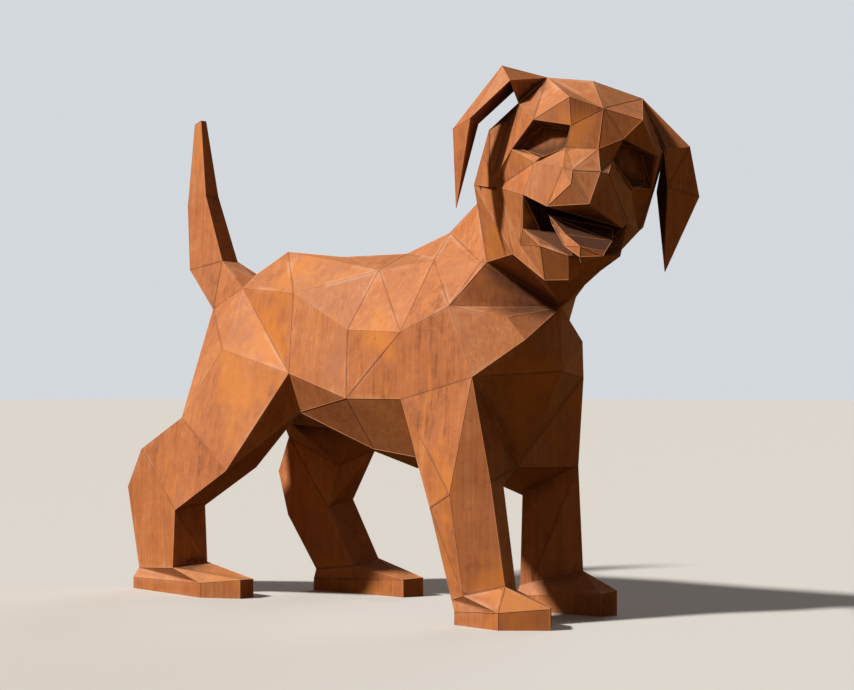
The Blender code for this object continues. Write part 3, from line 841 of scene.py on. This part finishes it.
def build_bead_tree():
    tree = bpy.data.node_groups.new("weld_beads", "GeometryNodeTree")
    interface = tree.interface
    interface.new_socket("Wire", in_out="INPUT", socket_type="NodeSocketGeometry")
    for label, value in (("Radius", 0.0016), ("Step", 0.009), ("Swell", 0.25),
                         ("Swell length", 0.02), ("Seed", 4.0)):
        interface.new_socket(label, in_out="INPUT", socket_type=FLOAT).default_value = value
    interface.new_socket("Finish", in_out="INPUT", socket_type="NodeSocketMaterial")
    interface.new_socket("Beads", in_out="OUTPUT", socket_type="NodeSocketGeometry")
    given, result = add(tree, "NodeGroupInput"), add(tree, "NodeGroupOutput")

    curve = add(tree, "GeometryNodeMeshToCurve")
    feed(tree, curve.inputs["Mesh"], given.outputs["Wire"])
    steps = add(tree, "GeometryNodeResampleCurve", mode="LENGTH")
    feed(tree, steps.inputs["Curve"], curve.outputs["Curve"])
    feed(tree, steps.inputs["Length"], given.outputs["Step"])

    swell = add(tree, "ShaderNodeTexNoise", noise_dimensions="4D")
    feed(tree, swell.inputs["Vector"], add(tree, "GeometryNodeInputPosition").outputs[0])
    feed(tree, swell.inputs["W"], given.outputs["Seed"])
    feed(tree, swell.inputs["Scale"], sum_of(tree, "DIVIDE", 1.0, given.outputs["Swell length"]))
    offset = sum_of(tree, "MULTIPLY", sum_of(tree, "SUBTRACT", swell.outputs["Fac"], 0.5), 2.0)
    factor = sum_of(tree, "MULTIPLY_ADD", offset, given.outputs["Swell"], 1.0)

    profile = add(tree, "GeometryNodeCurvePrimitiveCircle")
    profile.inputs["Resolution"].default_value = TUBE_SIDES
    feed(tree, profile.inputs["Radius"], given.outputs["Radius"])
    tube = add(tree, "GeometryNodeCurveToMesh")
    feed(tree, tube.inputs["Curve"], steps.outputs["Curve"])
    feed(tree, tube.inputs["Scale"], factor)
    feed(tree, tube.inputs["Profile Curve"], profile.outputs["Curve"])
    tube.inputs["Fill Caps"].default_value = True

    ball = add(tree, "GeometryNodeMeshIcoSphere")
    feed(tree, ball.inputs["Radius"], given.outputs["Radius"])
    ball.inputs["Subdivisions"].default_value = BALL_SUBDIVISIONS
    ends = add(tree, "GeometryNodeInstanceOnPoints")
    corners = add(tree, "GeometryNodeMergeByDistance")
    feed(tree, corners.inputs["Geometry"], given.outputs["Wire"])
    feed(tree, ends.inputs["Points"], corners.outputs["Geometry"])
    feed(tree, ends.inputs["Instance"], ball.outputs["Mesh"])

    joined = add(tree, "GeometryNodeJoinGeometry")
    for socket in (tube.outputs["Mesh"], ends.outputs["Instances"]):
        tree.links.new(socket, joined.inputs[0])
    real = add(tree, "GeometryNodeRealizeInstances")
    feed(tree, real.inputs["Geometry"], joined.outputs["Geometry"])
    finish = add(tree, "GeometryNodeSetMaterial")
    feed(tree, finish.inputs["Geometry"], real.outputs["Geometry"])
    feed(tree, finish.inputs["Material"], given.outputs["Finish"])
    feed(tree, result.inputs["Beads"], finish.outputs["Geometry"])
    return tree


bead_tree = build_bead_tree()
print("bead tree nodes:", len(bead_tree.nodes))

# %% [markdown]
# ## Which joint gets which bead
# The fold at a joint decides: a ridge of more than 14 degrees was ground round, and every other
# joint keeps its weld. The joints on the ground are left out. Each kind becomes a set of straight
# wires, and the bead tree turns each set into one piece.

# %% Sort the joints and run the beads
SOLE_HEIGHT = 0.002
WELD_BEAD = {"Radius": 0.0009, "Swell": 0.3, "Finish": weld_rust}
RIDGE_BEAD = {"Radius": 0.0006, "Swell": 0.12, "Finish": worn_ridge_highlight_rust}


def joints_of(node_name):
    """The joints of a node as (start, end, angle), with a ridge's angle above zero."""
    work = merged(node_name)
    joints = []
    for edge in work.edges:
        angle = edge.calc_face_angle_signed(0.0)
        start, end = (v.co.copy() for v in edge.verts)
        if abs(angle) > FOLD_ANGLE and max(start.z, end.z) > SOLE_HEIGHT:
            joints.append((start, end, angle))
    work.free()
    return joints


def wire_object(name, joints):
    """One straight wire per joint."""
    mesh = bpy.data.meshes.new(name)
    points = [point for start, end, angle in joints for point in (start, end)]
    mesh.from_pydata(points, [(i, i + 1) for i in range(0, len(points), 2)], [])
    wire = bpy.data.objects.new(name, mesh)
    bpy.context.scene.collection.objects.link(wire)
    return wire


def run_beads(name, wire, values):
    """Runs the bead tree over a wire and keeps the result as a plain mesh."""
    modifier = wire.modifiers.new("beads", "NODES")
    modifier.node_group = bead_tree
    sockets = {s.name: s.identifier
               for s in bead_tree.interface.items_tree if s.item_type == "SOCKET"}
    for label, value in values.items():
        modifier[sockets[label]] = value
    graph = bpy.context.evaluated_depsgraph_get()
    mesh = bpy.data.meshes.new_from_object(wire.evaluated_get(graph))
    mesh.name = name
    wire.modifiers.clear()
    old = wire.data
    beads = bpy.data.objects.new(name, mesh)
    bpy.context.scene.collection.objects.link(beads)
    bpy.data.objects.remove(wire)
    bpy.data.meshes.remove(old)
    for polygon in mesh.polygons:
        polygon.use_smooth = True
    print(name, "has", len(mesh.polygons), "faces")
    return beads


beads_of = {}
for node in nets:
    joints = joints_of(node)
    welds = [j for j in joints if j[2] < WELD_LIMIT]
    ridges = [j for j in joints if j[2] >= WELD_LIMIT]
    length = sum((end - start).length for start, end, angle in joints)
    print(node, len(welds), "welds and", len(ridges), "ridges,", round(length, 2), "m in all")
    beads_of[node] = []
    for kind, chosen, bead in (("_welds", welds, WELD_BEAD), ("_ridges", ridges, RIDGE_BEAD)):
        if chosen:
            beads_of[node].append(run_beads(node + kind, wire_object("wire", chosen), bead))

# %% [markdown]
# ## Hand the pieces to the frame
# Each piece of plate takes the place of its imported node. The beads ride along with it.

# %% Ride and replace
for node, piece in plates_of.items():
    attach(piece, "root")
    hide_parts(node)
    for beads in beads_of[node]:
        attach(beads, "root")
